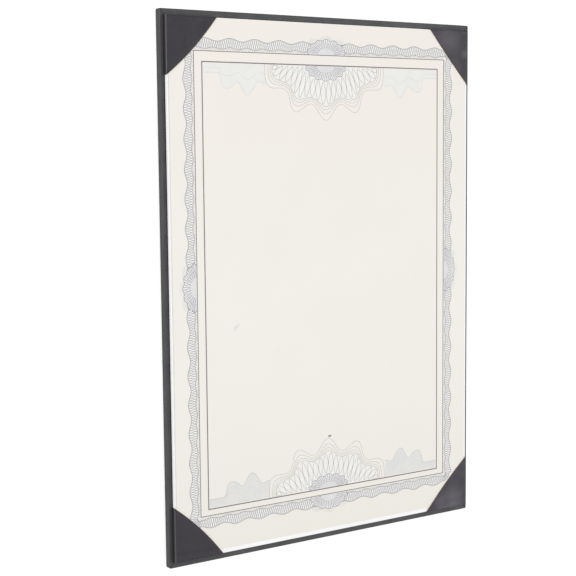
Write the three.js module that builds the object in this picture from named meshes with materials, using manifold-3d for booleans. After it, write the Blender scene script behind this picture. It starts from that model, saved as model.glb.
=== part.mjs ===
// A diploma cover: a leatherette-covered board that carries a raised, paper-lined panel.
// Four leatherette corner pockets on the panel hold a printed certificate sheet.
// Millimetres, +Z up. The cover lies on its back at z = 0, with the sheet's top edge towards +Y.
// The origin is the middle of the cover's back face.

import * as THREE from 'three';
import { mergeVertices } from 'three/addons/utils/BufferGeometryUtils.js';
import Module from 'manifold-3d';

const wasm = await Module();
wasm.setup();

// Certificate sheet, a standard A4 card
const sheetWidth = 210;
const sheetHeight = 297;
const sheetThickness = 0.3;

// Raised panel: how far it shows past each edge of the sheet, and what it is made of
const panelShowsLeft = 0.7;
const panelShowsRight = 1.5;
const panelShowsTop = 0.3;
const panelShowsBottom = 2.6;
const innerBoardThickness = 1.4;
const liningThickness = 0.2;
const liningTurnIn = 14;
const liningEdgeRadius = 0.2;

// Cover: the leatherette border that shows round the panel, and the board inside it
const borderLeft = 2.5;
const borderRight = 3.2;
const borderTop = 3.9;
const borderBottom = 3.9;
const coverBoardThickness = 3.5;
const leatheretteThickness = 0.4;
const coverTurnIn = 18;
const coverEdgeRadius = 0.6;
const coverCornerRadius = 1;
const mitreWidth = 0.3;
const mitreDepth = 0.2;

// Corner pockets: each folded side's length from the panel's corner, and the open edge's bulge
const pocketSizes = {
  top_left: { x: 31.5, y: 31.5, bulge: 1.6 },
  top_right: { x: 30, y: 33.3, bulge: 0.4 },
  bottom_left: { x: 31, y: 31, bulge: 1.6 },
  bottom_right: { x: 32.4, y: 31.5, bulge: 1 },
};
const pocketFlap = 9;
const pocketFoldRadius = 0.3;
const pocketCornerExtra = 0.3;

// Clearances: a glue line under each covering, the fold round the panel, and room for the sheet
const glueLine = 0.05;
const foldClearance = 0.05;
const sheetClearance = 0.15;

// Printed ornament, laid out from the sheet's edges
const outerLineFromLeft = 15.7;
const outerLineFromRight = 17.3;
const outerLineFromTop = 17.6;
const outerLineFromBottom = 20.4;
const frameStripWidth = 5;
const frameStripTopExtra = 0.7;
const frameStripBottomExtra = -1.5;
const outerLineWidth = 0.4;
const innerLineWidth = 0.6;
const inkThickness = 0.05;
const inkGap = 0.3;
const waveCrest = 7.1;
const waveTrough = 5.3;
const wavePitch = 16.3;
const medallionHalfWidth = 14;
const medallionHeight = 9;
const medallionScallops = 9;
const coreHalfWidth = 14.8;
const coreHeight = 8.8;
const scallopDepth = 0.5;

// Half of the lobed rosette, as distances from its centre line and from the inner frame line
const rosetteOutline = [
  [0, 31.4], [5.6, 26.8], [10.4, 22], [16, 24.2], [22, 26.6], [25.2, 20.5],
  [27.6, 15], [32, 13.2], [38.2, 13], [41.6, 9.2], [42, 0],
];
// One flank beside the rosette, as shares of the way from the rosette to the frame's corner, and
// distances from the inner frame line: two hanging peaks, then a flat end in the corner
const flankOutline = [
  [0, 0], [0, 11], [0.06, 10], [0.14, 10.6], [0.22, 15], [0.3, 17.4], [0.37, 14.6],
  [0.45, 10], [0.56, 13.1], [0.65, 14.1], [0.71, 12], [0.74, 5.5], [1, 5.5], [1, 0],
];

// Curve smoothness
const cornerSteps = 6;
const edgeSteps = 3;
const arcSteps = 14;
const stepsPerWave = 10;
const splineSteps = 40;

// Heights, from the back of the cover up
const coverBoardBottom = leatheretteThickness + glueLine;
const coverBoardTop = coverBoardBottom + coverBoardThickness;
const coverTop = coverBoardTop + glueLine + leatheretteThickness;
const panelBack = coverTop + leatheretteThickness;
const innerBoardBottom = panelBack + liningThickness + glueLine;
const innerBoardTop = innerBoardBottom + innerBoardThickness;
const panelTop = innerBoardTop + glueLine + liningThickness;
const sheetTop = panelTop + sheetThickness;
const inkTop = sheetTop + inkThickness;
const pocketUnderside = sheetTop + sheetClearance;
const pocketTop = pocketUnderside + leatheretteThickness;

// Rectangles in plan, each as its left, right, bottom and top
const grow = (r, d) => ({ left: r.left - d, right: r.right + d, bottom: r.bottom - d, top: r.top + d });

const panelWidth = panelShowsLeft + sheetWidth + panelShowsRight;
const panelHeight = panelShowsBottom + sheetHeight + panelShowsTop;
const coverWidth = borderLeft + panelWidth + borderRight;
const coverHeight = borderBottom + panelHeight + borderTop;
const cover = { left: -coverWidth / 2, right: coverWidth / 2, bottom: -coverHeight / 2, top: coverHeight / 2 };
const panel = {
  left: cover.left + borderLeft,
  right: cover.right - borderRight,
  bottom: cover.bottom + borderBottom,
  top: cover.top - borderTop,
};
const sheet = {
  left: panel.left + panelShowsLeft,
  right: panel.right - panelShowsRight,
  bottom: panel.bottom + panelShowsBottom,
  top: panel.top - panelShowsTop,
};
const outerFrame = {
  left: sheet.left + outerLineFromLeft,
  right: sheet.right - outerLineFromRight,
  bottom: sheet.bottom + outerLineFromBottom,
  top: sheet.top - outerLineFromTop,
};
const innerFrame = {
  left: outerFrame.left + frameStripWidth,
  right: outerFrame.right - frameStripWidth,
  bottom: outerFrame.bottom + frameStripWidth + frameStripBottomExtra,
  top: outerFrame.top - frameStripWidth - frameStripTopExtra,
};
const printCentreX = (outerFrame.left + outerFrame.right) / 2;
const printCentreY = (outerFrame.bottom + outerFrame.top) / 2;
const flankStart = rosetteOutline.at(-1)[0] + 2 * inkGap;
const flankEnd = (innerFrame.right - innerFrame.left) / 2 - innerLineWidth - inkGap;

// Materials
const material = (color, roughness) => new THREE.MeshStandardMaterial({ color, roughness, metalness: 0 });
const leatherette = material('#4d4b4f', 0.6);
const pocketLeatherette = material('#464348', 0.55);
const greyboard = material('#8f8a80', 0.9);
const whitePaper = material('#f7f7f5', 0.85);
const ivoryCard = material('#f0eee5', 0.8);
const greyInk = material('#d3d4d6', 0.8);
const paleInk = material('#e6e8e9', 0.8);
const lineInk = material('#8e858b', 0.8);

// Plan shapes
function rectangle(r, radius = 0) {
  const shape = new THREE.Shape();
  if (radius <= 0) {
    shape.moveTo(r.left, r.bottom).lineTo(r.right, r.bottom).lineTo(r.right, r.top).lineTo(r.left, r.top);
    return shape;
  }
  const quarter = Math.PI / 2;
  shape.absarc(r.right - radius, r.bottom + radius, radius, -quarter, 0, false);
  shape.absarc(r.right - radius, r.top - radius, radius, 0, quarter, false);
  shape.absarc(r.left + radius, r.top - radius, radius, quarter, 2 * quarter, false);
  shape.absarc(r.left + radius, r.bottom + radius, radius, 2 * quarter, 3 * quarter, false);
  return shape;
}

function polygon(points) {
  return new THREE.Shape(points.map(([x, y]) => new THREE.Vector2(x, y)));
}

// Straight-walled and soft-edged plates between two heights
function plate(shape, bottom, top) {
  const geometry = new THREE.ExtrudeGeometry(shape, {
    depth: top - bottom,
    bevelEnabled: false,
    curveSegments: cornerSteps,
  });
  return geometry.translate(0, 0, bottom);
}

function softPlate(shape, bottom, top, radius) {
  const geometry = new THREE.ExtrudeGeometry(shape, {
    depth: top - bottom - 2 * radius,
    bevelEnabled: true,
    bevelSize: radius,
    bevelThickness: radius,
    bevelOffset: -radius,
    bevelSegments: edgeSteps,
    curveSegments: cornerSteps,
  });
  return geometry.translate(0, 0, bottom + radius);
}

// Geometry to a solid that can be joined and cut, and back
function solid(geometry) {
  const bare = geometry.clone();
  bare.deleteAttribute('normal');
  bare.deleteAttribute('uv');
  const merged = mergeVertices(bare);
  return new wasm.Manifold(new wasm.Mesh({
    numProp: 3,
    vertProperties: new Float32Array(merged.attributes.position.array),
    triVerts: new Uint32Array(merged.index.array),
  }));
}

function geometryOf(manifold) {
  const mesh = manifold.getMesh();
  const geometry = new THREE.BufferGeometry();
  geometry.setAttribute('position', new THREE.BufferAttribute(new Float32Array(mesh.vertProperties), 3));
  geometry.setIndex(new THREE.BufferAttribute(new Uint32Array(mesh.triVerts), 1));
  geometry.computeVertexNormals();
  return geometry;
}

function piece(name, geometry, look) {
  const mesh = new THREE.Mesh(geometry, look);
  mesh.name = name;
  return mesh;
}

// A sheet wrapped round a board: it covers the back and the sides and turns in over the far face
function wrapped(outside, board, opening) {
  return geometryOf(solid(outside).subtract(solid(board)).subtract(solid(opening)));
}

// The four mitred folds of the cover's turn-ins, as shallow grooves along the diagonals
function mitreGroove(cornerX, cornerY) {
  const length = 2 * (coverTurnIn + mitreWidth) * Math.SQRT2;
  const groove = new THREE.BoxGeometry(length, mitreWidth, 2 * mitreDepth);
  const slope = Math.sign(cornerX) * Math.sign(cornerY) * Math.PI / 4;
  return solid(groove.rotateZ(slope).translate(cornerX, cornerY, coverTop));
}

function coverBoard() {
  return plate(rectangle(grow(cover, -coverBoardBottom)), coverBoardBottom, coverBoardTop);
}

function coverWrap() {
  const outside = softPlate(rectangle(cover, coverCornerRadius), 0, coverTop, coverEdgeRadius);
  const room = plate(
    rectangle(grow(cover, -leatheretteThickness)),
    leatheretteThickness,
    coverTop - leatheretteThickness,
  );
  const opening = plate(rectangle(grow(cover, -coverTurnIn)), coverBoardTop, 2 * coverTop);
  let wrap = solid(wrapped(outside, room, opening));
  for (const x of [cover.left, cover.right]) {
    for (const y of [cover.bottom, cover.top]) {
      wrap = wrap.subtract(mitreGroove(x, y));
    }
  }
  return geometryOf(wrap);
}

function innerBoard() {
  return plate(rectangle(grow(panel, -liningThickness - glueLine)), innerBoardBottom, innerBoardTop);
}

function panelLining() {
  const outside = softPlate(rectangle(panel), panelBack, panelTop, liningEdgeRadius);
  const room = plate(
    rectangle(grow(panel, -liningThickness)),
    panelBack + liningThickness,
    panelTop - liningThickness,
  );
  const opening = plate(rectangle(grow(panel, -liningTurnIn)), 0, innerBoardBottom);
  return wrapped(outside, room, opening);
}

// A pocket's plan: the panel's corner out past the folds, closed by the bulging open edge
function pocketPlan(cornerX, cornerY, inX, inY, size) {
  const overrun = 2 * leatheretteThickness;
  const start = new THREE.Vector2(size.x, 0);
  const end = new THREE.Vector2(0, size.y);
  const away = new THREE.Vector2(size.y, size.x).normalize();
  const points = [[-overrun, -overrun], [size.x, -overrun]];
  for (let i = 0; i <= arcSteps; i += 1) {
    const s = i / arcSteps;
    const point = start.clone().lerp(end, s).addScaledVector(away, 4 * size.bulge * s * (1 - s));
    points.push([point.x, point.y]);
  }
  points.push([-overrun, size.y]);
  const plan = points.map(([u, v]) => [cornerX + inX * u, cornerY + inY * v]);
  return polygon(inX * inY > 0 ? plan : plan.reverse());
}

// A pocket is cut from a soft skin round the whole panel, then hollowed for panel and sheet
function pocketSkin() {
  const skinEdge = grow(panel, foldClearance + leatheretteThickness);
  const skinPlan = rectangle(skinEdge, pocketFoldRadius + pocketCornerExtra);
  const skin = solid(softPlate(skinPlan, coverTop, pocketTop, pocketFoldRadius));
  const room = plate(rectangle(grow(panel, foldClearance)), panelBack, pocketUnderside);
  const backOpening = plate(rectangle(grow(panel, -pocketFlap)), 0, panelBack + liningThickness);
  return skin.subtract(solid(room)).subtract(solid(backOpening));
}

function cornerPockets() {
  const skin = pocketSkin();
  const corners = {
    top_left: [panel.left, panel.top, 1, -1],
    top_right: [panel.right, panel.top, -1, -1],
    bottom_left: [panel.left, panel.bottom, 1, 1],
    bottom_right: [panel.right, panel.bottom, -1, 1],
  };
  return Object.entries(corners).map(([name, corner]) => {
    const plan = pocketPlan(...corner, pocketSizes[name]);
    const pocket = skin.intersect(solid(plate(plan, 0, 2 * pocketTop)));
    return piece(`corner_pocket_${name}`, geometryOf(pocket), pocketLeatherette);
  });
}

// Printed pieces: thin films of ink on the sheet
const ink = (shape) => plate(shape, sheetTop, inkTop);

function lineRing(frame, width) {
  const shape = rectangle(frame);
  shape.holes.push(rectangle(grow(frame, -width)));
  return ink(shape);
}

// The wave's height over the outer frame line, at a distance from the middle of a side
function waveHeight(distance) {
  const middle = (waveCrest + waveTrough) / 2;
  const swing = (waveCrest - waveTrough) / 2;
  return middle + swing * Math.cos(2 * Math.PI * distance / wavePitch);
}

// One side of the waved band and the round corner after it, walked anticlockwise
function waveSide(start, end, outward) {
  const points = [];
  const length = start.distanceTo(end);
  const steps = Math.round(length / wavePitch * stepsPerWave);
  for (let i = 0; i <= steps; i += 1) {
    const height = waveHeight((i / steps - 0.5) * length);
    points.push(start.clone().lerp(end, i / steps).addScaledVector(outward, height));
  }
  const radius = waveHeight(length / 2);
  for (let i = 1; i < cornerSteps; i += 1) {
    const turned = outward.clone().rotateAround(new THREE.Vector2(), i / cornerSteps * Math.PI / 2);
    points.push(end.clone().addScaledVector(turned, radius));
  }
  return points;
}

function waveBand(medallions) {
  const { left, right, bottom, top } = outerFrame;
  const corners = [[left, bottom], [right, bottom], [right, top], [left, top]];
  const outward = [[0, -1], [1, 0], [0, 1], [-1, 0]];
  const outline = corners.flatMap((corner, i) => waveSide(
    new THREE.Vector2(...corner),
    new THREE.Vector2(...corners[(i + 1) % corners.length]),
    new THREE.Vector2(...outward[i]),
  ));
  const shape = new THREE.Shape(outline);
  shape.holes.push(rectangle(grow(outerFrame, inkGap)));
  return medallions.reduce(
    (band, medallion) => band.subtract(solid(plate(medallion, 0, pocketTop))),
    solid(ink(shape)),
  );
}

// The medallions part the band into four runs, one round each corner
function waveRuns(medallions) {
  const band = waveBand(medallions);
  const quadrants = {
    top_left: { ...sheet, right: printCentreX, bottom: printCentreY },
    top_right: { ...sheet, left: printCentreX, bottom: printCentreY },
    bottom_left: { ...sheet, right: printCentreX, top: printCentreY },
    bottom_right: { ...sheet, left: printCentreX, top: printCentreY },
  };
  return Object.entries(quadrants).map(([name, quadrant]) => {
    const run = band.intersect(solid(plate(rectangle(quadrant), 0, pocketTop)));
    return piece(`print_wave_band_${name}`, geometryOf(run), greyInk);
  });
}

// Half an ellipse with a scalloped edge, flat side on the x axis, standing towards +y
function scallopedHalf(halfWidth, height, extra) {
  const steps = medallionScallops * 6;
  const points = [];
  for (let i = 0; i <= steps; i += 1) {
    const angle = i / steps * Math.PI;
    const dip = scallopDepth * (1 - Math.abs(Math.sin(medallionScallops * angle)));
    points.push([(halfWidth + extra - dip) * Math.cos(angle), (height + extra - dip) * Math.sin(angle)]);
  }
  return points;
}

// Turns an outline that stands towards +y about the z axis and sets its foot at a place
function placed(points, x, y, quarterTurns, foot) {
  const turn = quarterTurns * Math.PI / 2;
  const [cos, sin] = [Math.round(Math.cos(turn)), Math.round(Math.sin(turn))];
  return polygon(points.map(([u, v]) => [x + cos * u - sin * (v + foot), y + sin * u + cos * (v + foot)]));
}

const sides = {
  top: { x: printCentreX, y: outerFrame.top, turns: 0 },
  left: { x: outerFrame.left, y: printCentreY, turns: 1 },
  bottom: { x: printCentreX, y: outerFrame.bottom, turns: 2 },
  right: { x: outerFrame.right, y: printCentreY, turns: 3 },
};

function medallionPlan(side) {
  return placed(scallopedHalf(medallionHalfWidth, medallionHeight, 0), side.x, side.y, side.turns, inkGap);
}

// What a medallion clears in the band: its own outline, a gap larger all round
function medallionRoom(side) {
  return placed(scallopedHalf(medallionHalfWidth, medallionHeight, 2 * inkGap), side.x, side.y, side.turns, 0);
}

// The full lobed outline from its half, in order from +x round to -x
function rosettePoints() {
  const half = new THREE.SplineCurve(rosetteOutline.map(([x, y]) => new THREE.Vector2(x, y)));
  const right = half.getPoints(splineSteps).map((p) => [p.x, Math.max(p.y, 0)]);
  const left = right.slice(1).map(([x, y]) => [-x, y]);
  return [...right.reverse(), ...left];
}

function rosette(y, turns) {
  const field = solid(ink(placed(rosettePoints(), printCentreX, y, turns, inkGap)));
  const hole = placed(scallopedHalf(coreHalfWidth, coreHeight, 2 * inkGap), printCentreX, y, turns, 0);
  return geometryOf(field.subtract(solid(plate(hole, 0, pocketTop))));
}

function rosetteCore(y, turns) {
  return ink(placed(scallopedHalf(coreHalfWidth, coreHeight, 0), printCentreX, y, turns, inkGap));
}

// A flank is drawn towards +x, and mirrored for the other side of the rosette
function flank(y, turns, mirror) {
  const points = flankOutline.map(([share, depth]) => {
    const x = THREE.MathUtils.lerp(flankStart, flankEnd, share);
    return [mirror * x, depth];
  });
  return ink(placed(mirror > 0 ? points.reverse() : points, printCentreX, y, turns, inkGap));
}

function printedPieces() {
  const pieces = [
    ...waveRuns(Object.values(sides).map(medallionRoom)),
    piece('print_outer_line', lineRing(outerFrame, outerLineWidth), lineInk),
    piece('print_inner_line', lineRing(innerFrame, innerLineWidth), lineInk),
  ];
  for (const [name, side] of Object.entries(sides)) {
    pieces.push(piece(`print_medallion_${name}`, ink(medallionPlan(side)), greyInk));
  }
  const ends = {
    top: { y: innerFrame.top - innerLineWidth, turns: 2 },
    bottom: { y: innerFrame.bottom + innerLineWidth, turns: 0 },
  };
  for (const [name, { y, turns }] of Object.entries(ends)) {
    pieces.push(piece(`print_rosette_${name}`, rosette(y, turns), paleInk));
    pieces.push(piece(`print_rosette_core_${name}`, rosetteCore(y, turns), greyInk));
    for (const [hand, mirror] of [['left', -1], ['right', 1]]) {
      const facing = turns === 0 ? mirror : -mirror;
      pieces.push(piece(`print_flank_${name}_${hand}`, flank(y, turns, facing), paleInk));
    }
  }
  return pieces;
}

const diplomaCover = new THREE.Group();
diplomaCover.add(
  piece('cover_board', coverBoard(), greyboard),
  piece('cover_wrap', coverWrap(), leatherette),
  piece('inner_board', innerBoard(), greyboard),
  piece('panel_lining', panelLining(), whitePaper),
  piece('certificate_sheet', plate(rectangle(sheet), panelTop, sheetTop), ivoryCard),
  ...cornerPockets(),
  ...printedPieces(),
);

export default diplomaCover;
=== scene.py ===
"""A diploma cover on a pale table: leatherette board, paper-lined panel, corner pockets, printed sheet."""

import math

import bpy
from mathutils import Matrix, Vector


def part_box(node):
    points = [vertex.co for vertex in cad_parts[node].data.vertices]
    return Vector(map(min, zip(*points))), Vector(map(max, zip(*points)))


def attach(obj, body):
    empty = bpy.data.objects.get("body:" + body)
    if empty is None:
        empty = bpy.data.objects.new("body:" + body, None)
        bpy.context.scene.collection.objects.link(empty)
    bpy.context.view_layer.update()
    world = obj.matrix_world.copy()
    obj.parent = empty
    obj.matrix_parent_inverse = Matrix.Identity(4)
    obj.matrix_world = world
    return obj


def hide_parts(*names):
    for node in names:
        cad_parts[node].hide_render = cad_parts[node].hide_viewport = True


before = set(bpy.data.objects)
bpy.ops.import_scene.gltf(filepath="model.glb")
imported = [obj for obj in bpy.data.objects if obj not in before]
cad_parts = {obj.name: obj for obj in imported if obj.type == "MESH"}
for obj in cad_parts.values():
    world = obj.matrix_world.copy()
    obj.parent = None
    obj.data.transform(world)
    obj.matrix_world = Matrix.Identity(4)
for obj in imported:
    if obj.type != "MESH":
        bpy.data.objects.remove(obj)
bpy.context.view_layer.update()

MM = 0.001
BODY = "root"


def plan_of(node):
    """A node's rectangle in plan, in millimetres: left, right, bottom, top."""
    low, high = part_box(node)
    return [low[0] / MM, high[0] / MM, low[1] / MM, high[1] / MM]


def grown(rect, d):
    return [rect[0] - d, rect[1] + d, rect[2] - d, rect[3] + d]


def top_of(node):
    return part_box(node)[1][2] / MM


# Sizes and places in millimetres, read from the frame
COVER = plan_of("cover_wrap")
PANEL = plan_of("panel_lining")
SHEET = plan_of("certificate_sheet")
OUTER_LINE = plan_of("print_outer_line")
INNER_LINE = plan_of("print_inner_line")
COVER_TOP = top_of("cover_wrap")
SHEET_TOP = top_of("certificate_sheet")
INK_TOP = top_of("print_outer_line")
POCKET_TOP = top_of("corner_pocket_top_left")
PRINT_X = (OUTER_LINE[0] + OUTER_LINE[1]) / 2
PRINT_Y = (OUTER_LINE[2] + OUTER_LINE[3]) / 2


# Camera: the photograph's view of the front, from its left and a little above its middle
def add_camera():
    place = Vector((-0.45252, 0.07695, 0.64055))
    aim = Vector((-0.02975, -0.00136, 0.007))
    roll = math.radians(0.55)
    data = bpy.data.cameras.new("camera")
    data.sensor_width = 36
    data.lens = 83.04
    data.clip_start = 0.01
    camera = bpy.data.objects.new("camera", data)
    bpy.context.scene.collection.objects.link(camera)
    back = (place - aim).normalized()
    right = Vector((0, 1, 0)).cross(back).normalized()
    turn = Matrix.Rotation(-roll, 3, back)
    right = turn @ right
    up = back.cross(right)
    camera.matrix_world = Matrix.Translation(place) @ Matrix((right, up, back)).transposed().to_4x4()
    bpy.context.scene.camera = camera


# Colours, given as they look on screen (0 to 255), turned into the linear values that shaders use
def linear(red, green, blue):
    def one(value):
        value /= 255
        return value / 12.92 if value <= 0.04045 else ((value + 0.055) / 1.055) ** 2.4
    return (one(red), one(green), one(blue), 1)


class Look:
    """One procedural material: a Principled shader with helpers that add the nodes round it."""

    def __init__(self, name, roughness, specular=0.5):
        self.material = bpy.data.materials.new(name)
        self.material.use_nodes = True
        self.nodes = self.material.node_tree.nodes
        self.links = self.material.node_tree.links
        self.shader = self.nodes["Principled BSDF"]
        self.shader.inputs["Roughness"].default_value = roughness
        self.shader.inputs["Specular IOR Level"].default_value = specular
        self.place = self.nodes.new("ShaderNodeTexCoord").outputs["Object"]

    def noise(self, size, detail=4, roughness=0.5):
        """Noise whose features are about size millimetres across."""
        node = self.nodes.new("ShaderNodeTexNoise")
        node.inputs["Scale"].default_value = 1 / (size * MM)
        node.inputs["Detail"].default_value = detail
        node.inputs["Roughness"].default_value = roughness
        self.links.new(self.place, node.inputs["Vector"])
        return node.outputs["Fac"]

    def cells(self, size):
        """Rounded cells, about size millimetres across."""
        node = self.nodes.new("ShaderNodeTexVoronoi")
        node.feature = "SMOOTH_F1"
        node.inputs["Scale"].default_value = 1 / (size * MM)
        self.links.new(self.place, node.inputs["Vector"])
        return node.outputs["Distance"]

    def stretched(self, source, low, high, to_low=0.0, to_high=1.0):
        """The source, clamped between low and high and spread over another range."""
        node = self.nodes.new("ShaderNodeMapRange")
        node.inputs["From Min"].default_value = low
        node.inputs["From Max"].default_value = high
        node.inputs["To Min"].default_value = to_low
        node.inputs["To Max"].default_value = to_high
        self.links.new(source, node.inputs["Value"])
        return node.outputs["Result"]

    def patch(self, x, y, radius):
        """1 at a place on the sheet, falling smoothly to 0 at the radius, in millimetres."""
        away = self.nodes.new("ShaderNodeVectorMath")
        away.operation = "DISTANCE"
        away.inputs[1].default_value = (x * MM, y * MM, POCKET_TOP * MM)
        self.links.new(self.place, away.inputs[0])
        node = self.nodes.new("ShaderNodeMapRange")
        node.interpolation_type = "SMOOTHSTEP"
        node.inputs["From Min"].default_value = radius * MM
        node.inputs["From Max"].default_value = 0
        self.links.new(away.outputs["Value"], node.inputs["Value"])
        return node.outputs["Result"]

    def upright(self):
        """1 on faces that stand upright, 0 on level ones."""
        geometry = self.nodes.new("ShaderNodeNewGeometry")
        split = self.nodes.new("ShaderNodeSeparateXYZ")
        self.links.new(geometry.outputs["True Normal"], split.inputs[0])
        return self.stretched(split.outputs["Z"], 0.5, 0.2)

    def mixed(self, factor, one, other):
        """One colour where the factor is 0, the other where it is 1."""
        node = self.nodes.new("ShaderNodeMix")
        node.data_type = "RGBA"
        self.links.new(factor, node.inputs["Factor"])
        for socket, value in ((node.inputs["A"], one), (node.inputs["B"], other)):
            if isinstance(value, tuple):
                socket.default_value = value
            else:
                self.links.new(value, socket)
        return node.outputs["Result"]

    def colour(self, source):
        if isinstance(source, tuple):
            self.shader.inputs["Base Color"].default_value = source
        else:
            self.links.new(source, self.shader.inputs["Base Color"])

    def roughness(self, source):
        self.links.new(source, self.shader.inputs["Roughness"])

    def bump(self, *layers):
        """Layers of (height, depth in millimetres), stacked."""
        normal = None
        for height, depth in layers:
            node = self.nodes.new("ShaderNodeBump")
            node.inputs["Distance"].default_value = depth * MM
            self.links.new(height, node.inputs["Height"])
            if normal is not None:
                self.links.new(normal, node.inputs["Normal"])
            normal = node.outputs["Normal"]
        self.links.new(normal, self.shader.inputs["Normal"])


def leatherette_look(name, dark, light, roughness, painted_sheen_patches=(), painted_side_shade=None):
    """Leatherette: a fine pebbled grain, a slow drift of shade, and uneven gloss.

    Patches are places (x, y, radius, colour) painted lighter, as a painted sheen.
    The side shade colour goes on faces that stand upright, as painted shade.
    """
    look = Look(name, roughness)
    drift = look.stretched(look.noise(14, 3), 0.35, 0.65)
    tone = look.mixed(drift, dark, light)
    # Painted sheen: each patch mixes a lighter colour into the tone.
    for x, y, radius, colour in painted_sheen_patches:
        tone = look.mixed(look.patch(x, y, radius), tone, colour)
    # Painted shade: faces that stand upright take the darker side colour.
    if painted_side_shade is not None:
        tone = look.mixed(look.upright(), tone, painted_side_shade)
    look.colour(tone)
    gloss = look.noise(5, 3)
    look.roughness(look.stretched(gloss, 0.3, 0.7, roughness - 0.05, roughness + 0.07))
    pebbles = look.cells(0.7)
    pores = look.noise(0.35, 2)
    unevenness = look.noise(9, 2)
    look.bump((pebbles, 0.05), (pores, 0.03), (unevenness, 0.12))
    return look.material


def paper_look(name, base, shade, fibre_size=0.6):
    """Matt paper: faint fibres, a slow warm and cool drift, and a very slight tooth."""
    look = Look(name, 0.85, 0.25)
    drift = look.stretched(look.noise(70, 2), 0.3, 0.7)
    look.colour(look.mixed(drift, base, shade))
    fibres = look.noise(fibre_size, 4, 0.6)
    tooth = look.noise(4, 3)
    look.bump((fibres, 0.012), (tooth, 0.02))
    return look.material


def card_look():
    """Ivory card: warmer towards the sheet's top, a little greyer towards its foot."""
    look = Look("ivory_card", 0.85, 0.2)
    ivory = linear(244, 242, 235)
    warmer = linear(244, 239, 232)
    greyer = linear(241, 238, 230)
    drifting = linear(243, 239, 231)
    split = look.nodes.new("ShaderNodeSeparateXYZ")
    look.links.new(look.place, split.inputs[0])
    upper = look.stretched(split.outputs["Y"], 20 * MM, 140 * MM)
    lower = look.stretched(split.outputs["Y"], -50 * MM, -150 * MM)
    tone = look.mixed(upper, ivory, warmer)
    tone = look.mixed(lower, tone, greyer)
    drift = look.stretched(look.noise(45, 2), 0.4, 0.7, 0, 0.5)
    look.colour(look.mixed(drift, tone, drifting))
    fibres = look.noise(0.6, 4, 0.6)
    tooth = look.noise(5, 3)
    look.bump((fibres, 0.01), (tooth, 0.015))
    return look.material


def ink_look(name, dark, light, patch=0.8):
    """Printed ink: soaked in a little unevenly."""
    look = Look(name, 0.75, 0.25)
    soaked = look.stretched(look.noise(patch, 2), 0.35, 0.65)
    look.colour(look.mixed(soaked, dark, light))
    fibres = look.noise(0.4, 3)
    look.bump((fibres, 0.01))
    return look.material


def make_looks():
    right, bottom, top = PANEL[1:]
    # Painted shade: near-black for the pockets' upright walls, in the shadowed gap beside the border.
    upright = linear(24, 22, 26)
    # Painted sheen: lighter colours for patches on the right-hand pockets.
    painted_sheen = linear(73, 69, 78)
    brighter_painted_sheen = linear(80, 76, 85)
    painted_sheen_patches = {
        "top_right": [(right - 15, top - 6, 12, painted_sheen), (right - 2.5, top - 14, 4, painted_sheen)],
        "bottom_right": [(right - 11, bottom + 6, 12, brighter_painted_sheen), (right - 20, bottom + 4, 9, painted_sheen)],
    }
    # Painted shade: each pocket gets its own dark and light tone, darker at the top, lighter at the bottom.
    painted_shade_tones = {
        "top_left": (linear(33, 29, 38), linear(39, 35, 44)),
        "top_right": (linear(36, 31, 41), linear(42, 37, 47)),
        "bottom_left": (linear(41, 36, 46), linear(47, 42, 52)),
        "bottom_right": (linear(41, 36, 46), linear(47, 42, 52)),
    }
    pockets = {
        "pocket_" + name: leatherette_look(
            "leatherette_pocket_" + name, dark, light, 0.45, painted_sheen_patches.get(name, ()), upright)
        for name, (dark, light) in painted_shade_tones.items()
    }
    return pockets | {
        # The cover's upright sides get a darker colour as painted shade.
        "wrap": leatherette_look(
            "leatherette_cover", linear(65, 65, 67), linear(75, 75, 77), 0.55, painted_side_shade=linear(52, 51, 53)),
        # Painted highlight: a lighter leatherette for the pockets' rounded folds.
        "fold": leatherette_look("leatherette_fold_painted_highlight", linear(76, 73, 80), linear(86, 83, 90), 0.5),
        # Painted shade: near-black for the dark lines under the panel's foot and in the mitre grooves.
        "painted_groove_shade": leatherette_look("leatherette_painted_groove_shade", linear(44, 44, 46), linear(50, 50, 52), 0.8),
        "cut": ink_look("cut_leatherette_edge", linear(78, 54, 48), linear(100, 72, 60)),
        "lining": paper_look("white_lining_paper", linear(254, 254, 254), linear(251, 251, 252)),
        "card": card_look(),
        "board": paper_look("raw_greyboard", linear(150, 144, 134), linear(132, 127, 118), 1.5),
        "line": ink_look("frame_line_ink", linear(124, 115, 122), linear(138, 130, 136)),
        "fine": ink_look("fine_line_ink", linear(146, 147, 159), linear(164, 165, 176)),
        "medallion_tint": ink_look("medallion_tint_ink", linear(226, 225, 226), linear(230, 229, 229), 5),
        "medallion_ring": ink_look("medallion_ring_ink", linear(233, 232, 232), linear(237, 236, 235)),
        "medallion_pale": ink_look("medallion_ground_ink", linear(238, 237, 235), linear(241, 240, 237), 5),
        "petal": ink_look("petal_ground_ink", linear(242, 241, 237), linear(245, 244, 240), 5),
        "faint": ink_look("faint_line_ink", linear(214, 217, 222), linear(223, 225, 229), 3),
        "soft": ink_look("soft_line_ink", linear(184, 183, 182), linear(198, 197, 195)),
        "tint": ink_look("pale_tint_ink", linear(236, 236, 233), linear(240, 239, 235), 8),
        "tint_low": ink_look("low_tint_ink", linear(227, 227, 225), linear(232, 231, 228), 8),
        "flank_line": ink_look("flank_line_ink", linear(194, 196, 202), linear(208, 210, 214), 3),
        "speck": ink_look("dark_speck", linear(150, 137, 139), linear(175, 163, 165), 0.4),
        # Painted shade: grey for the shadowed left edge of the sheet.
        "card_edge_shade": ink_look("card_edge_painted_shade", linear(221, 218, 221), linear(229, 226, 226), 6),
        "smudge": ink_look("pale_smudge", linear(229, 227, 222), linear(237, 235, 230), 1.5),
    }


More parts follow.
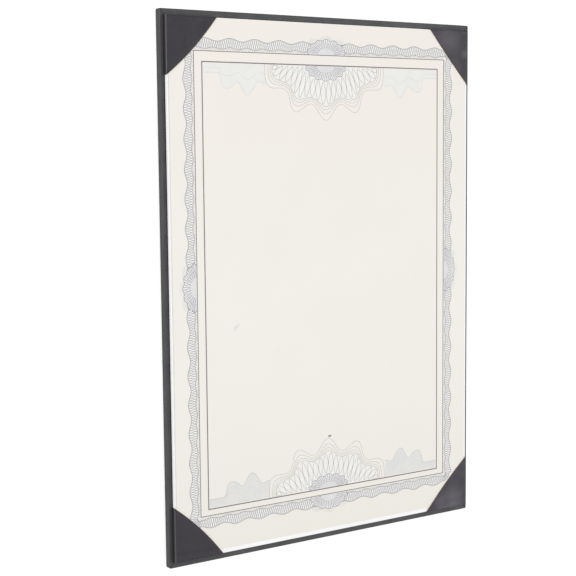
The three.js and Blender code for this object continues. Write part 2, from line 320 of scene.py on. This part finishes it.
# Meshes, given in millimetres
def mesh_piece(name, points, faces, materials, face_materials=None, smooth=False):
    """A mesh from points and faces. It rides on the one body."""
    data = bpy.data.meshes.new(name)
    data.from_pydata([(x * MM, y * MM, z * MM) for x, y, z in points], [], faces)
    for material in materials:
        data.materials.append(material)
    if face_materials is not None:
        data.polygons.foreach_set("material_index", face_materials)
    data.polygons.foreach_set("use_smooth", [smooth] * len(data.polygons))
    data.update()
    piece = bpy.data.objects.new(name, data)
    bpy.context.scene.collection.objects.link(piece)
    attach(piece, BODY)
    return piece


class Strips:
    """Thin closed strips of ink along plan paths, gathered into one mesh."""

    def __init__(self, width, lift=0.0):
        self.width = width
        self.lift = lift
        self.points = []
        self.faces = []

    def add(self, path, closed=False, width=None):
        half = (width or self.width) / 2
        count = len(path)
        if count < 2:
            return
        first = len(self.points)
        for i, (x, y) in enumerate(path):
            before = path[i - 1] if i > 0 or closed else path[i]
            after = path[(i + 1) % count] if i < count - 1 or closed else path[i]
            along_x, along_y = after[0] - before[0], after[1] - before[1]
            length = math.hypot(along_x, along_y) or 1
            side_x, side_y = -along_y / length * half, along_x / length * half
            top = INK_TOP + self.lift
            for sign, z in ((1, SHEET_TOP), (-1, SHEET_TOP), (-1, top), (1, top)):
                self.points.append((x + sign * side_x, y + sign * side_y, z))
        for i in range(count if closed else count - 1):
            here, there = first + 4 * i, first + 4 * ((i + 1) % count)
            for k in range(4):
                n = (k + 1) % 4
                self.faces.append((here + k, there + k, there + n, here + n))
        if not closed:
            last = first + 4 * (count - 1)
            self.faces.append((first, first + 1, first + 2, first + 3))
            self.faces.append((last + 3, last + 2, last + 1, last))

    def dashes(self, path, on, off, width):
        """Dashes along a path, counted in its points."""
        for i in range(0, len(path) - on, on + off):
            self.add(path[i:i + on + 1], width=width)

    def piece(self, name, material):
        return mesh_piece(name, self.points, self.faces, [material])


def anticlockwise(outline):
    """The outline, turned round where it runs clockwise."""
    turned = sum(x0 * y1 - x1 * y0 for (x0, y0), (x1, y1) in zip(outline, outline[1:] + outline[:1]))
    return outline if turned > 0 else outline[::-1]


def plate(name, outlines, thickness, material):
    """Thin plates of tint, one for each closed outline, in one mesh."""
    points, faces = [], []
    for outline in map(anticlockwise, outlines):
        first, count = len(points), len(outline)
        points += [(x, y, SHEET_TOP) for x, y in outline]
        points += [(x, y, SHEET_TOP + thickness) for x, y in outline]
        faces.append(tuple(first + i for i in reversed(range(count))))
        faces.append(tuple(first + count + i for i in range(count)))
        for i in range(count):
            j = (i + 1) % count
            faces.append((first + i, first + j, first + count + j, first + count + i))
    return mesh_piece(name, points, faces, [material])


# The ornament is drawn with u along a side of the frame, from its middle, and v away from the line
def side_map(x, y, quarter_turns):
    """The map from (u, v) to the sheet, for a side whose middle is at (x, y)."""
    cos = round(math.cos(quarter_turns * math.pi / 2))
    sin = round(math.sin(quarter_turns * math.pi / 2))
    return lambda u, v: (x + cos * u - sin * v, y + sin * u + cos * v)


def mapped(to_sheet, path):
    return [to_sheet(u, v) for u, v in path]


def spline(points, steps):
    """A smooth curve through given points, with Catmull and Rom's weights."""
    padded = [points[0]] + list(points) + [points[-1]]
    path = []
    for i in range(1, len(padded) - 2):
        p0, p1, p2, p3 = padded[i - 1:i + 3]
        for k in range(steps):
            t = k / steps
            path.append(tuple(
                0.5 * (2 * b + (c - a) * t + (2 * a - 5 * b + 4 * c - d) * t * t
                       + (3 * b - a - 3 * c + d) * t ** 3)
                for a, b, c, d in zip(p0, p1, p2, p3)))
    path.append(points[-1])
    return path


def between(one, other, share):
    """The point at a share of the way from one point to the other."""
    return tuple(a + (b - a) * share for a, b in zip(one, other))


def resampled(path, count):
    """The same path with its points spread evenly along it."""
    lengths = [0]
    for a, b in zip(path, path[1:]):
        lengths.append(lengths[-1] + math.dist(a, b))
    spread, k = [], 0
    for i in range(count):
        want = lengths[-1] * i / (count - 1)
        while k < len(path) - 2 and lengths[k + 1] < want:
            k += 1
        gap = lengths[k + 1] - lengths[k]
        share = (want - lengths[k]) / gap if gap else 0
        spread.append(between(path[k], path[k + 1], share))
    return spread


def both_halves(half):
    """A half outline, given from its middle outwards, with its mirror image before it."""
    return [(-x, y) for x, y in reversed(half[1:])] + list(half)


# Waved band: crossing zigzags between an inner and an outer wave, broken by the medallions
WAVE_PITCH = 16.3
OUTER_SWING = 0.9
OUTER_MIDDLES = (6.2, 5.8, 6.2, 5.6)
OUTER_STEP = 0.8
OUTER_WIDTH = 0.22
CORNER_MIDDLE = 6.0
INNER_MIDDLE = 1.45
INNER_SWING = 0.45
INNER_PITCH = WAVE_PITCH * 2 / 3
INNER_STEP = 0.5
INNER_WIDTH = 0.34
HATCH_PITCH = 4.2
HATCH_FAMILIES = 3
HATCH_STEP = 0.35
HATCH_WIDTH = 0.17
FOOT_START = 0.2
FOOT_PITCH = 2
FOOT_STEP = 0.25
FOOT_WIDTH = 0.1
MEDALLION_HALF_WIDTH = 13.9
MEDALLION_HEIGHT = 9
BAND_END = 0.88
BAND_GROUND_CUT = 3.5
BAND_GROUND_MARGIN = 0.3
GROUND_THICKNESS = 0.008


def outer_wave(u, walked, middle):
    return middle + OUTER_SWING * math.cos(2 * math.pi * u / WAVE_PITCH)


def inner_wave(u, walked, middle):
    return INNER_MIDDLE + INNER_SWING * math.cos(2 * math.pi * u / INNER_PITCH)


def in_medallion(u, v):
    return (u / MEDALLION_HALF_WIDTH) ** 2 + (v / MEDALLION_HEIGHT) ** 2 < BAND_END


def frame_sides():
    """The outer line's sides as (map, half length, wave height), from the top, anticlockwise."""
    half_wide = (OUTER_LINE[1] - OUTER_LINE[0]) / 2
    half_tall = (OUTER_LINE[3] - OUTER_LINE[2]) / 2
    return [
        (side_map(PRINT_X, OUTER_LINE[3], 0), half_wide, OUTER_MIDDLES[0]),
        (side_map(OUTER_LINE[0], PRINT_Y, 1), half_tall, OUTER_MIDDLES[1]),
        (side_map(PRINT_X, OUTER_LINE[2], 2), half_wide, OUTER_MIDDLES[2]),
        (side_map(OUTER_LINE[1], PRINT_Y, 3), half_tall, OUTER_MIDDLES[3]),
    ]


def band_paths(height, step, corners=True, cut_height=None):
    """Walks round the frame at height(u, walked length, wave's middle) over the outer line.

    The medallions cut the walk where they reach its own height, or else cut_height.
    """
    paths, run, walked = [], [], 0
    for to_sheet, half, middle in frame_sides():
        count = round(2 * half / step)
        for i in range(count + 1):
            u = half - 2 * half * i / count
            ease = min(1, (half - abs(u)) / WAVE_PITCH)
            local = CORNER_MIDDLE + (middle - CORNER_MIDDLE) * ease
            v = height(u, walked + half - u, local)
            if in_medallion(u, cut_height or v):
                paths.append(run)
                run = []
            else:
                run.append(to_sheet(u, v))
        walked += 2 * half
        if not corners:
            paths.append(run)
            run = []
            continue
        arc = CORNER_MIDDLE * math.pi / 2
        turns = round(arc / step)
        for i in range(1, turns):
            angle = i / turns * math.pi / 2
            v = height(-half, walked + arc * i / turns, CORNER_MIDDLE)
            run.append(to_sheet(-half - v * math.sin(angle), v * math.cos(angle)))
        walked += arc
    paths.append(run)
    return [path for path in paths if len(path) > 1]


def swing(turns, phase=0.0):
    """A sine wave between 0 and 1."""
    return 0.5 + 0.5 * math.sin(2 * math.pi * turns + phase)


def zigzag(phase):
    """The height of one family of strokes, which swing between the two waves."""
    def height(u, walked, middle):
        low = inner_wave(u, walked, middle)
        return low + (outer_wave(u, walked, middle) - low) * swing(walked / HATCH_PITCH, phase)
    return height


def foot_zigzag(u, walked, middle):
    """The small stitches between the outer line and the inner wave."""
    return FOOT_START + (inner_wave(u, walked, middle) - FOOT_START) * swing(walked / FOOT_PITCH)


def ground_foot(u, walked, middle):
    return inner_wave(u, walked, middle) - BAND_GROUND_MARGIN


def band_ground(looks):
    highs = band_paths(outer_wave, OUTER_STEP, cut_height=BAND_GROUND_CUT)
    lows = band_paths(ground_foot, OUTER_STEP, cut_height=BAND_GROUND_CUT)
    fields = [high + low[::-1] for high, low in zip(highs, lows)]
    plate("print_wave_ground", fields, GROUND_THICKNESS, looks["petal"])


def wave_band(looks):
    strips = Strips(HATCH_WIDTH)
    for path in band_paths(outer_wave, OUTER_STEP):
        strips.add(path, width=OUTER_WIDTH)
    for path in band_paths(inner_wave, INNER_STEP, corners=False):
        strips.dashes(path, 1, 1, INNER_WIDTH)
    for family in range(HATCH_FAMILIES):
        for path in band_paths(zigzag(2 * math.pi * family / HATCH_FAMILIES), HATCH_STEP):
            strips.add(path)
    for path in band_paths(foot_zigzag, FOOT_STEP, corners=False):
        strips.add(path, width=FOOT_WIDTH)
    piece = strips.piece("print_wave_band", looks["fine"])
    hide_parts(*[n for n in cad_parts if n.startswith("print_wave_band")])


# Medallion: a scalloped half ellipse with a rim, strokes towards its middle, and a plain lens
SCALLOPS = 7
SCALLOP_POINTS = 12
MEDALLION_NOTCH = 0.11
CORE_NOTCH = 0.15
RIM_WIDTH = 0.28
RIM_GAP = 0.04
LENS_SHARE = 0.62
LENS_RING_SHARE = 0.76
LENS_POINTS = 60
STROKES = 27
STROKE_STARTS = (0.64, 0.42)
STROKE_WIDTH = 0.26
STROKE_LIFT = 0.012
MEDALLION_GROUND_THICKNESS = 0.01
LENS_RING_THICKNESS = 0.015
TINT_THICKNESS = 0.02


def ellipse_point(half_width, height, share, angle):
    return (half_width * share * math.cos(angle), height * share * math.sin(angle))


def around(half_width, height, reach, steps):
    """A half turn of points at reach(angle) shares of the half ellipse's radius."""
    path = []
    for i in range(steps + 1):
        angle = math.pi * i / steps
        path.append(ellipse_point(half_width, height, reach(angle), angle))
    return path


def medallion(name, node, to_sheet, half_width, height, notch, looks):
    def rim(angle):
        return 1 - notch * (1 - abs(math.sin(SCALLOPS * angle)))

    def field(reach, steps):
        return mapped(to_sheet, around(half_width, height, reach, steps))

    scalloped = field(rim, SCALLOPS * SCALLOP_POINTS)
    lens = field(lambda angle: LENS_SHARE, LENS_POINTS)
    lens_ring = field(lambda angle: LENS_RING_SHARE, LENS_POINTS)
    plates = (
        plate("print_ground_" + name, [scalloped], MEDALLION_GROUND_THICKNESS, looks["medallion_pale"]),
        plate("print_ring_" + name, [lens_ring], LENS_RING_THICKNESS, looks["medallion_ring"]),
        plate("print_tint_" + name, [lens], TINT_THICKNESS, looks["medallion_tint"]),
    )
    strips = Strips(STROKE_WIDTH, STROKE_LIFT)
    strips.add(scalloped, width=RIM_WIDTH)
    for i in range(1, STROKES):
        angle = math.pi * i / STROKES
        ends = (STROKE_STARTS[i % 2], rim(angle) - RIM_GAP)
        strips.add(mapped(to_sheet, [ellipse_point(half_width, height, end, angle) for end in ends]))
    lines = strips.piece("print_lines_" + name, looks["fine"])
    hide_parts(node)


# Halo: faint rays in lobes outside a medallion's rim
HALO_RAYS = 44
HALO_WIDTH = 0.14
HALO_FROM = 0.2
HALO_SPREAD = 0.6
HALO_START = 0.96
HALO_END = 1.02
HALO_REACH = 0.24
HALO_LOBES = 4.5


def halo(name, to_sheet, looks):
    strips = Strips(HALO_WIDTH)
    for i in range(HALO_RAYS + 1):
        angle = math.pi * (HALO_FROM + HALO_SPREAD * i / HALO_RAYS)
        lobe = abs(math.cos(HALO_LOBES * (angle - math.pi / 2)))
        ends = (HALO_START, HALO_END + HALO_REACH * lobe)
        strips.add(mapped(to_sheet, [
            ellipse_point(MEDALLION_HALF_WIDTH, MEDALLION_HEIGHT, end, angle) for end in ends]))
    strips.piece("print_halo_" + name, looks["faint"])


def medallions(looks):
    for side, (to_sheet, _, _) in zip(("top", "left", "bottom", "right"), frame_sides()):
        name = "medallion_" + side
        medallion(name, "print_" + name, to_sheet, MEDALLION_HALF_WIDTH, MEDALLION_HEIGHT,
                  MEDALLION_NOTCH, looks)
        halo(name, to_sheet, looks)


# Lobed rosette inside the frame: half outlines as (across, depth) in millimetres
ROSETTE_OUTSIDE = [
    (0, 31.4), (2.4, 30.3), (4.4, 27.9), (6.6, 24.8), (8.8, 22.6), (11, 22), (13.6, 22.9),
    (17, 25.2), (20.4, 26.7), (22.8, 26), (24.4, 23.4), (25.4, 19.4), (26.4, 16), (28.6, 13.9),
    (32, 13.2), (36.6, 13.3), (39.6, 12.3), (41.4, 9.6), (42, 5), (42, 0),
]
ROSETTE_INSIDE = [
    (0, 23.4), (2, 22.9), (4.2, 21.4), (6.6, 19.6), (9, 18.5), (11.6, 18.2), (14.4, 18.8),
    (18, 19.4), (20.6, 18.8), (22.2, 17), (23.6, 14.2), (25.2, 11.8), (27.8, 10.2), (31, 9.2),
    (34, 8.4), (36.2, 6.6), (37.1, 4), (37.2, 0),
]
ROSETTE_RINGS = (0, 0.24, 0.54, 1)
ROSETTE_POINTS = 240
ROSETTE_SHIFTS = {"top": 0.5, "bottom": -0.5}
ROSETTE_DEPTHS = {"top": 0.99, "bottom": 0.955}
RING_WIDTH = 0.2
PETALS = 11
PETAL_POINTS = 16
PETAL_START = 0.03
PETAL_END = 0.95
PETAL_WIDTH = 0.26
CORE_HALF_WIDTH = 14.8
CORE_HEIGHT = 8.8
CORE_POINTS = 40
ROOT_FOOT = 0.5
ROOT_START = 35
ROOT_TURN = 25
ROOT_GAP = 0.4
FIELD_FOOT = 0.4
CURVE_STEPS = 6


def footed(outline):
    """An open outline, closed by a foot a little off the frame's line."""
    return outline + [(outline[-1][0], FIELD_FOOT), (outline[0][0], FIELD_FOOT)]


def rosette_root():
    """Where the petals start: along the line to the core, round it, and on along the line."""
    left = [(-x, ROOT_FOOT) for x in (ROOT_START, ROOT_TURN, CORE_HALF_WIDTH + ROOT_GAP)]
    core = around(CORE_HALF_WIDTH, CORE_HEIGHT, lambda angle: 1, CORE_POINTS)[3:-3]
    right = [(-x, y) for x, y in reversed(left)]
    return left + [(-x, y) for x, y in core] + right


def petal_path(inside, phase):
    """One wave of petals, which swings between the root and the inner outline."""
    count = PETALS * PETAL_POINTS + 1
    path = []
    for i, (root, tip) in enumerate(zip(resampled(rosette_root(), count), resampled(inside, count))):
        share = PETAL_START + (PETAL_END - PETAL_START) * swing(i / PETAL_POINTS, phase)
        path.append(between(root, tip, share))
    return path


def rosette(name, to_frame, looks):
    def to_sheet(u, v):
        return to_frame(u + ROSETTE_SHIFTS[name], v * ROSETTE_DEPTHS[name])

    inside = resampled(spline(both_halves(ROSETTE_INSIDE), CURVE_STEPS), ROSETTE_POINTS)
    outside = resampled(spline(both_halves(ROSETTE_OUTSIDE), CURVE_STEPS), ROSETTE_POINTS)
    field = mapped(to_sheet, footed([point for point in inside if point[1] > ROOT_FOOT]))
    plate("print_rosette_ground_" + name, [field], GROUND_THICKNESS, looks["petal"])
    strips = Strips(RING_WIDTH)
    for share in ROSETTE_RINGS:
        ring = [between(near, far, share) for near, far in zip(inside, outside)]
        strips.add(mapped(to_sheet, ring), width=RING_WIDTH if share else PETAL_WIDTH)
    for phase in (0, math.pi):
        strips.add(mapped(to_sheet, petal_path(inside, phase)), width=PETAL_WIDTH)
    piece = strips.piece("print_rosette_lines_" + name, looks["soft"])
    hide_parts("print_rosette_" + name)
    medallion("core_" + name, "print_rosette_core_" + name, to_sheet, CORE_HALF_WIDTH, CORE_HEIGHT,
              CORE_NOTCH, looks)


# Flanks: faint lobed fields between a rosette and the frame's corner, as (share of length, depth)
FLANK_OUTLINE = [
    (0, 11.2), (0.05, 10.6), (0.1, 9.9), (0.14, 10.4), (0.18, 12.6), (0.22, 15), (0.26, 16.9),
    (0.3, 17.4), (0.34, 16.6), (0.38, 14.2), (0.42, 11.4), (0.45, 10.2), (0.49, 11), (0.54, 12.7),
    (0.6, 13.9), (0.65, 14), (0.69, 12.8), (0.715, 10), (0.73, 7), (0.76, 5.6), (0.82, 5.4), (1, 5.5),
]
FLANK_START = 42.2
FLANK_END_GAP = 0.9
FLANK_ECHOES = {"top": (0.5,), "bottom": (0.78, 0.5)}
FLANK_LOOKS = {"top": ("tint", "faint"), "bottom": ("tint_low", "flank_line")}
FLANK_STEPS = 5
FLANK_EDGE_WIDTH = 0.26
FLANK_ECHO_WIDTH = 0.2
INNER_LINE_WIDTH = 0.6


def flank(end, side, sign, to_sheet, looks):
    name = end + "_" + side
    tint_look, edge_look = FLANK_LOOKS[end]
    length = (INNER_LINE[1] - INNER_LINE[0]) / 2 - FLANK_END_GAP - FLANK_START
    outline = [
        (sign * (FLANK_START + share * length), depth * ROSETTE_DEPTHS[end])
        for share, depth in spline(FLANK_OUTLINE, FLANK_STEPS)
    ]
    field = mapped(to_sheet, footed(outline))
    tint = plate("print_flank_tint_" + name, [field], TINT_THICKNESS, looks[tint_look])
    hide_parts("print_flank_" + name)
    edge = Strips(FLANK_EDGE_WIDTH)
    edge.add(mapped(to_sheet, outline))
    edge.piece("print_flank_edge_" + name, looks[edge_look])
    echoes = Strips(FLANK_ECHO_WIDTH)
    for echo in FLANK_ECHOES[end]:
        echoes.add(mapped(to_sheet, [(u, v * echo) for u, v in outline]))
    echoes.piece("print_flank_echoes_" + name, looks["faint"])


def frame_inside(looks):
    """The rosettes and flanks at both ends. At the top, u runs to the left."""
    ends = (
        ("top", side_map(PRINT_X, INNER_LINE[3] - INNER_LINE_WIDTH, 2), 1),
        ("bottom", side_map(PRINT_X, INNER_LINE[2] + INNER_LINE_WIDTH, 0), -1),
    )
    for end, to_sheet, left in ends:
        rosette(end, to_sheet, looks)
        flank(end, "left", left, to_sheet, looks)
        flank(end, "right", -left, to_sheet, looks)


# Pocket: a leatherette skin folded over the panel's corner, a little full between its folds
POCKET_SKIN = 0.4
FOLD_RADIUS = 0.55
CORNER_RADIUS = 0.6
CUT_EDGE = 0.4
CUT_ROUND = 0.05
POCKET_FOOT = COVER_TOP + 0.05
FOLD_LEVELS = (0, 0.04, 0.14, 0.32, 0.55, 1)
EDGE_POINTS = 60
POCKET_ROWS = 26
POCKET_COLUMNS = 28
LAST_ROW = 0.6
TIP_ROWS = (0.25, 0.02)
TIP_REACH = 0.02
TIP_SPACING = 0.06
CREASE_START = 3
# Kinds of face: the skin, the cut edge, and the rounded fold, which gets a painted highlight.
SKIN, CUT, FOLD_HIGHLIGHT = range(3)

# For each pocket, the sides of its rectangle that meet in the corner, the open edge's bulge, and
# its shallow creases, each as (distance from the corner, depth, width, direction in degrees)
POCKETS = {
    "top_left": (0, 3, 1.6, [(22, 0.12, 4, 3)]),
    "top_right": (1, 3, 0.4, [(5, 0.14, 3, 3), (17, 0.1, 5, 20)]),
    "bottom_left": (0, 2, 1.6, [(4, 0.12, 1.5, -88)]),
    "bottom_right": (1, 2, 1, [(11, 0.18, 4, -48), (4, 0.1, 2, -84)]),
}


def crease_depth(u, v, creases):
    depth = 0
    for distance, deep, width, degrees in creases:
        turn = math.radians(degrees)
        offset = abs(u * math.cos(turn) - v * math.sin(turn)) - distance
        depth += deep * math.exp(-(offset / width) ** 2)
    return min(1, u / CREASE_START, v / CREASE_START) * depth


def rounded_corner(u, v):
    """Bends the corner of the folded square round, where u and v are small."""
    if u >= CORNER_RADIUS or v >= CORNER_RADIUS:
        return u, v
    p = (CORNER_RADIUS - u) / CORNER_RADIUS
    q = (CORNER_RADIUS - v) / CORNER_RADIUS
    return (CORNER_RADIUS * (1 - p * math.sqrt(1 - q * q / 2)),
            CORNER_RADIUS * (1 - q * math.sqrt(1 - p * p / 2)))


def fold_drop(u, v):
    """How far the skin has dropped at (u, v), where it rounds over its folds."""
    across = max(0, FOLD_RADIUS - u)
    along = max(0, FOLD_RADIUS - v)
    reach = min(FOLD_RADIUS, math.hypot(across, along))
    return FOLD_RADIUS - math.sqrt(FOLD_RADIUS ** 2 - reach ** 2)


def open_edge(wide, tall, bulge):
    """The open edge from one fold to the other, swollen outwards in its middle."""
    edge = []
    for i in range(EDGE_POINTS + 1):
        s = i / EDGE_POINTS
        swell = 4 * bulge * s * (1 - s) / math.hypot(wide, tall)
        edge.append((wide * (1 - s) + tall * swell, tall * s + wide * swell))
    return edge


def reach_at(edge, v):
    """How far the open edge lies from the upright fold at v."""
    for (u0, v0), (u1, v1) in zip(edge, edge[1:]):
        if v0 <= v <= v1:
            return u0 + (u1 - u0) * (v - v0) / (v1 - v0)
    return 0


def row_levels(end):
    """Where a row of the skin has its points: close together round the fold, then even.

    In the short rows by a tip, the fold's points crowd together to stay inside the row.
    """
    crowded = [end * (TIP_REACH + k * TIP_SPACING) for k in range(len(FOLD_LEVELS))]
    levels = [min(pair) for pair in zip(FOLD_LEVELS, crowded)]
    levels[0] = 0
    last = levels[-1]
    levels += [last + (end - last) * i / POCKET_COLUMNS for i in range(1, POCKET_COLUMNS)]
    return levels + [end]


def pocket(name, looks):
    side_x, side_y, bulge, creases = POCKETS[name]
    node = "corner_pocket_" + name
    rect = plan_of(node)
    in_x = 1 if side_x == 0 else -1
    in_y = 1 if side_y == 2 else -1
    wide, tall = rect[1] - rect[0], rect[3] - rect[2]
    edge = open_edge(wide, tall, bulge)
    points, faces, kinds = [], [], []

    def put(u, v, z):
        bent_u, bent_v = rounded_corner(u, v)
        points.append((rect[side_x] + in_x * bent_u, rect[side_y] + in_y * bent_v, z))
        return len(points) - 1

    def skin_row(v, flat=False):
        row = [put(0, v, POCKET_FOOT)]
        for u in row_levels(max(reach_at(edge, v) - CUT_EDGE, TIP_REACH)):
            height = POCKET_TOP - fold_drop(u, v) - crease_depth(u, v, creases)
            row.append(put(u, v, POCKET_FOOT if flat else height))
        return row

    def lip(v, row):
        """The cut edge at the end of a row: from the skin's face to its underside."""
        x, _, top = points[row[-1]]
        outer = max(reach_at(edge, v), 2 * TIP_REACH)
        return (
            put((x - rect[side_x]) * in_x, v, top),
            put(outer, v, top - CUT_ROUND),
            put(outer, v, top - POCKET_SKIN),
        )

    def join(strips, kind_of):
        for below, above in zip(strips, strips[1:]):
            for k in range(len(below) - 1):
                faces.append((below[k], below[k + 1], above[k + 1], above[k]))
                kinds.append(kind_of(k))

    even_rows = [1 + (tall - 1 - LAST_ROW) * i / POCKET_ROWS for i in range(1, POCKET_ROWS + 1)]
    v_levels = [*FOLD_LEVELS, *even_rows, *(tall - gap for gap in TIP_ROWS)]
    rows = [skin_row(0, flat=True)] + [skin_row(v) for v in v_levels]
    lips = [lip(v, row) for v, row in zip(v_levels, rows[1:])]
    # The fold band's faces take the painted highlight.
    join(rows, lambda k: FOLD_HIGHLIGHT if 2 <= k <= 4 else SKIN)
    join(lips, lambda k: CUT)
    if in_x * in_y < 0:
        faces = [tuple(reversed(face)) for face in faces]
    materials = [looks["pocket_" + name], looks["cut"], looks["fold"]]
    piece = mesh_piece("pocket_" + name, points, faces, materials, kinds, smooth=True)
    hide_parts(node)


# Painted shade on the border: dark lines along three sides of the panel's foot, for the shadowed gap under
# it, and along the cover's mitre grooves
GROOVE_SHADE_WIDTH = 0.35
GROOVE_SHADE_HEIGHT = 0.04
GROOVE_SHADE_TUCK = 0.3
GROOVE_SHADE_SIDES = (0, 2, 3)
MITRE_HALF_WIDTH = 0.14
MITRE_START = 1.1
MITRE_SINK = 0.03


def painted_groove_shade_lines(looks):
    points, faces = [], []

    def bar(start, end, z):
        """A low bar between two pairs of plan points, each given as (left, right) of its way."""
        first = len(points)
        for left, right in (start, end):
            points.extend([(*left, z), (*right, z), (*right, z + GROOVE_SHADE_HEIGHT), (*left, z + GROOVE_SHADE_HEIGHT)])
        for k in range(4):
            n = (k + 1) % 4
            faces.append((first + k, first + 4 + k, first + 4 + n, first + n))
        faces.append((first, first + 1, first + 2, first + 3))
        faces.append((first + 7, first + 6, first + 5, first + 4))

    def corners(rect):
        return [(rect[0], rect[2]), (rect[1], rect[2]), (rect[1], rect[3]), (rect[0], rect[3])]

    # Painted shade along the panel's foot, where the gap under it is in shadow.
    foot = list(zip(corners(grown(PANEL, -GROOVE_SHADE_TUCK)), corners(grown(PANEL, GROOVE_SHADE_WIDTH))))
    for side in GROOVE_SHADE_SIDES:
        bar(foot[side], foot[(side + 1) % 4], COVER_TOP)
    # Painted shade in the mitre grooves, from the cover's corners to the panel's.
    for (x, y), (panel_x, panel_y) in zip(corners(COVER), corners(PANEL)):
        length = math.hypot(panel_x - x, panel_y - y)
        along_x, along_y = (panel_x - x) / length, (panel_y - y) / length

        def pair(px, py):
            return ((px - along_y * MITRE_HALF_WIDTH, py + along_x * MITRE_HALF_WIDTH),
                    (px + along_y * MITRE_HALF_WIDTH, py - along_x * MITRE_HALF_WIDTH))

        start = pair(x + along_x * MITRE_START, y + along_y * MITRE_START)
        bar(start, pair(panel_x, panel_y), COVER_TOP - MITRE_SINK)
    piece = mesh_piece("border_painted_groove_shade", points, faces, [looks["painted_groove_shade"]])


# Small marks on the sheet, as (x, y, half length, half width, direction in degrees)
SPECKS = [(-0.9, -91.7, 1.3, 0.6, 4), (-37.2, -37.6, 0.2, 0.15, 0)]
SMUDGE = (-65, -21.3, 2.8, 1.15, 42)
BLOT_POINTS = 20
MARK_THICKNESS = 0.02
CUT_SHADE_WIDTH = 0.6
CUT_SHADE_THICKNESS = 0.01
CUT_SHADE_END = 28


def blot(x, y, half_length, half_width, degrees):
    turn = math.radians(degrees)
    path = []
    for i in range(BLOT_POINTS):
        angle = 2 * math.pi * i / BLOT_POINTS
        along = half_length * math.cos(angle)
        across = half_width * math.sin(angle) * (1 + 0.2 * math.sin(3 * angle))
        path.append((x + along * math.cos(turn) - across * math.sin(turn),
                     y + along * math.sin(turn) + across * math.cos(turn)))
    return path


def marks(looks):
    specks = plate("sheet_specks", [blot(*speck) for speck in SPECKS], MARK_THICKNESS, looks["speck"])
    smudge = plate("sheet_smudge", [blot(*SMUDGE)], MARK_THICKNESS, looks["smudge"])
    # Painted shade: a thin grey strip along the sheet's left edge, between the pockets.
    left, right = SHEET[0], SHEET[0] + CUT_SHADE_WIDTH
    bottom, top = SHEET[2] + CUT_SHADE_END, SHEET[3] - CUT_SHADE_END
    shade = [(left, bottom), (right, bottom), (right, top), (left, top)]
    cut = plate("sheet_edge_painted_shade", [shade], CUT_SHADE_THICKNESS, looks["card_edge_shade"])


# Nodes that stay as the frame has them, with the look of each
FRAME_LOOKS = {
    "cover_board": "board",
    "inner_board": "board",
    "cover_wrap": "wrap",
    "panel_lining": "lining",
    "certificate_sheet": "card",
    "print_outer_line": "line",
    "print_inner_line": "line",
}


def dress_frame(looks):
    for node, look in FRAME_LOOKS.items():
        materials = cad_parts[node].data.materials
        materials.clear()
        materials.append(looks[look])


# Stage: a pale floor that reads as white to the camera and keeps the soft shadow
FLOOR_REACH = 4
FLOOR_GAP = 0.0002
FLOOR_GREY = 0.86
FLOOR_GLOW = 0.45
WORLD_STRENGTH = 0.55


def add_floor():
    x = y = FLOOR_REACH
    data = bpy.data.meshes.new("floor")
    data.from_pydata([(-x, -y, 0), (x, -y, 0), (x, y, 0), (-x, y, 0)], [], [(0, 1, 2, 3)])
    floor = bpy.data.objects.new("floor", data)
    bpy.context.scene.collection.objects.link(floor)
    floor.location.z = -FLOOR_GAP
    data.materials.append(floor_material())


def floor_material():
    """Plain pale grey that glows a little, only as camera, glossy and transmission rays see it."""
    material = bpy.data.materials.new("pale_floor")
    material.use_nodes = True
    nodes, links = material.node_tree.nodes, material.node_tree.links
    shader = nodes["Principled BSDF"]
    shader.inputs["Base Color"].default_value = (FLOOR_GREY, FLOOR_GREY, FLOOR_GREY, 1)
    shader.inputs["Roughness"].default_value = 0.9
    shader.inputs["Emission Color"].default_value = (1, 1, 1, 1)

    def worked(operation, one, other):
        node = nodes.new("ShaderNodeMath")
        node.operation = operation
        links.new(one, node.inputs[0])
        if isinstance(other, float):
            node.inputs[1].default_value = other
        else:
            links.new(other, node.inputs[1])
        return node.outputs[0]

    rays = nodes.new("ShaderNodeLightPath").outputs
    seen = worked("MAXIMUM", rays["Is Camera Ray"], rays["Is Glossy Ray"])
    seen = worked("MAXIMUM", seen, rays["Is Transmission Ray"])
    links.new(worked("MULTIPLY", seen, FLOOR_GLOW), shader.inputs["Emission Strength"])
    return material


def add_world():
    world = bpy.data.worlds.new("studio")
    bpy.context.scene.world = world
    world.use_nodes = True
    background = world.node_tree.nodes["Background"]
    background.inputs["Color"].default_value = (1, 1, 1, 1)
    background.inputs["Strength"].default_value = WORLD_STRENGTH


def add_softbox(name, place, aim, size, power):
    data = bpy.data.lights.new(name, "AREA")
    data.shape = "RECTANGLE"
    data.size, data.size_y = size
    data.energy = power
    light = bpy.data.objects.new(name, data)
    bpy.context.scene.collection.objects.link(light)
    light.location = place
    light.rotation_euler = (Vector(aim) - Vector(place)).to_track_quat("-Z", "Y").to_euler()


def add_lights():
    add_softbox("key_light", place=(-1.3, 0.6, 1.2), aim=(0, 0, 0), size=(1.2, 1.2), power=15)
    add_softbox("right_light", place=(1.15, -0.12, 1.15), aim=(0.09, 0, 0), size=(0.5, 0.9), power=7)


bpy.context.scene.view_settings.view_transform = "Standard"
add_camera()
looks = make_looks()
dress_frame(looks)
for name in POCKETS:
    pocket(name, looks)
painted_groove_shade_lines(looks)
band_ground(looks)
wave_band(looks)
medallions(looks)
frame_inside(looks)
marks(looks)
add_floor()
add_world()
add_lights()
